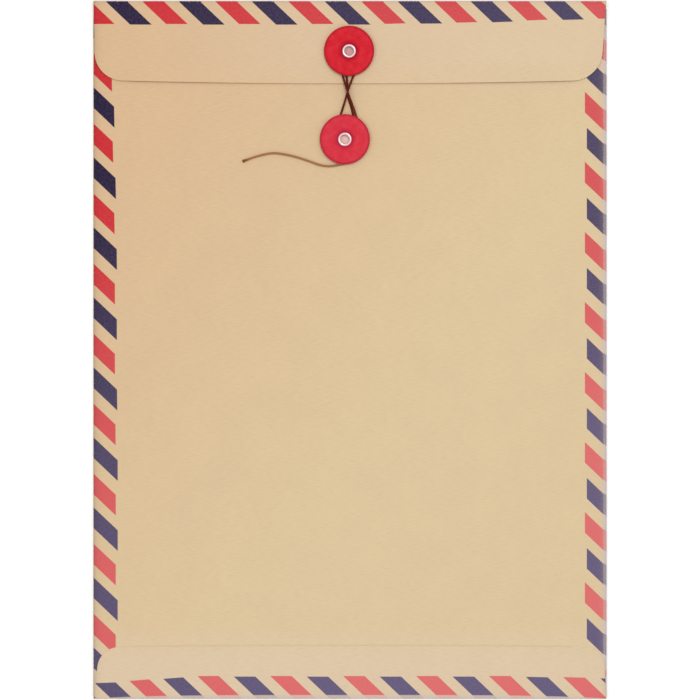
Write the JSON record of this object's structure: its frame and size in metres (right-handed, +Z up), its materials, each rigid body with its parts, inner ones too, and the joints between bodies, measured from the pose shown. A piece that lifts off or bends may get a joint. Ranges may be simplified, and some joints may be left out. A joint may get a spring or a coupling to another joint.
{
  "type": "string-tie paper envelope",
  "caption": "Flat kraft paper envelope with a folded flap held shut by a string wound round two red discs on eyelets, and a red and navy striped border.",
  "frame": {"origin": "under the middle of the envelope, on the surface that it lies on", "axes": "+Z up, out of the flap side; +Y towards the closure flap's fold; X across the envelope"},
  "size_m": [0.25, 0.34, 0.0046],
  "materials": {
    "kraft": "matte",
    "navy_ink": "matte",
    "red_ink": "matte",
    "red_card": "satin",
    "eyelet_metal": "satin",
    "cord": "matte"
  },
  "bodies": {
    "root": {"paper_sheet": "kraft", "navy_stripes": "navy_ink", "red_stripes": "red_ink", "flap_disc": "red_card", "body_disc": "red_card", "flap_eyelet": "eyelet_metal", "body_eyelet": "eyelet_metal", "tie_string": "cord"}
  },
  "joints": []
}
